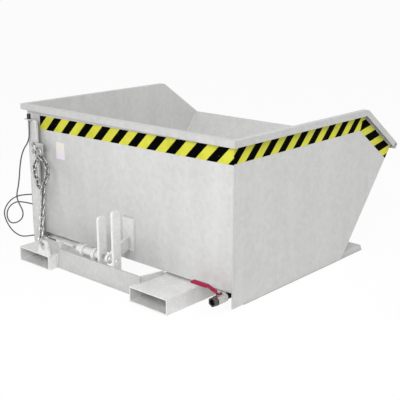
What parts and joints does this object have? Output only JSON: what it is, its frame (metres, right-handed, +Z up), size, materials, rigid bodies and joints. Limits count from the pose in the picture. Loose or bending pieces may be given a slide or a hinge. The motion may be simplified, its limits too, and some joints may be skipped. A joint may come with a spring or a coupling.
{
  "type": "tipping hopper",
  "caption": "Open galvanised sheet bin with a sloping pouring front that tips forward on a low base with fork pockets, latch, safety chain, release cable and drain valve.",
  "frame": {"origin": "on the ground, below the middle of the overall length and width", "axes": "+X from the rear wall to the pouring lip, +Y to the hopper's left, +Z up"},
  "size_m": [1.3444, 1.3931, 0.65],
  "materials": {
    "galvanised": "hot-dip galvanised, satin",
    "hazard_tape": "striped tape, yellow and black",
    "label": "bare label",
    "zinc_plated": "bright zinc",
    "valve_metal": "nickel-plated brass",
    "bronze": "plain bronze",
    "seat_plastic": "white sealing plastic",
    "red_paint": "red paint",
    "red_grip": "red dipped plastic",
    "cable": "dark grey covered cable",
    "knob": "black plastic"
  },
  "bodies": {
    "base_frame": {"barrel_lugs": "galvanised", "cable_holders": "zinc_plated", "cable_post": "galvanised", "cable_sleeve": "zinc_plated", "chain_hook": "zinc_plated", "chain_lug": "zinc_plated", "fork_pocket_left": "galvanised", "fork_pocket_right": "galvanised", "front_cross_bar": "galvanised", "latch_barrel": "zinc_plated", "latch_cheeks": "galvanised", "latch_spring": "zinc_plated", "pin_cotters": "zinc_plated", "pivot_brackets": "galvanised", "pivot_pins": "zinc_plated", "pocket_gussets": "galvanised", "post_foot": "galvanised", "pull_knob": "knob", "rail_ties": "galvanised", "rear_cross_plate": "galvanised", "release_cable_coil": "cable", "release_cable_riser": "cable", "release_cable_run": "cable", "rest_pads": "galvanised", "safety_chain": "zinc_plated", "side_rail_left": "galvanised", "side_rail_right": "galvanised", "snap_hook": "zinc_plated"},
    "hopper": {"side_wall_left": "galvanised", "side_wall_right": "galvanised", "rear_wall": "galvanised", "floor_plate": "galvanised", "front_wall": "galvanised", "rim_rear": "galvanised", "rim_left": "galvanised", "rim_right": "galvanised", "rim_lip": "galvanised", "hazard_tape_rear": "hazard_tape", "hazard_tape_left": "hazard_tape", "hazard_tape_right": "hazard_tape", "blank_label": "label", "pivot_ears": "galvanised", "pivot_bushes": "bronze", "tongue_doubler": "galvanised", "catch_tongue": "galvanised", "drain_sieve": "zinc_plated", "drain_elbow": "valve_metal", "valve_body": "valve_metal", "valve_seats": "seat_plastic", "valve_end_cap": "valve_metal", "gland_nut": "valve_metal"},
    "drain_lever": {"valve_ball": "valve_metal", "valve_stem": "zinc_plated", "valve_lever": "red_paint", "lever_grip": "red_grip", "lever_nut": "zinc_plated"},
    "latch": {"latch_bolt": "zinc_plated", "pull_wire": "zinc_plated"},
    "snap_gate": {"snap_gate": "zinc_plated"}
  },
  "joints": [
    {"name": "hopper_tip", "type": "hinge", "parent": "base_frame", "child": "hopper", "pos_m": [0.49778, 0, 0.215], "axis": [0, 1, 0], "range_deg": [0, 90]},
    {"name": "latch_slide", "type": "slide", "parent": "base_frame", "child": "latch", "axis": [0, -1, 0], "range_m": [0, 0.095]},
    {"name": "drain_lever_turn", "type": "hinge", "parent": "hopper", "child": "drain_lever", "pos_m": [-0.514, -0.575, 0.09], "axis": [0, 0, 1], "range_deg": [0, 90]},
    {"name": "snap_gate_turn", "type": "hinge", "parent": "base_frame", "child": "snap_gate", "pos_m": [-0.55772, 0.38241, 0.30963], "axis": [0.2927, -0.3248, 0.8993], "range_deg": [0, 40], "stiffness_Nm_per_rad": 0.1, "springref_deg": -20.05}
  ]
}
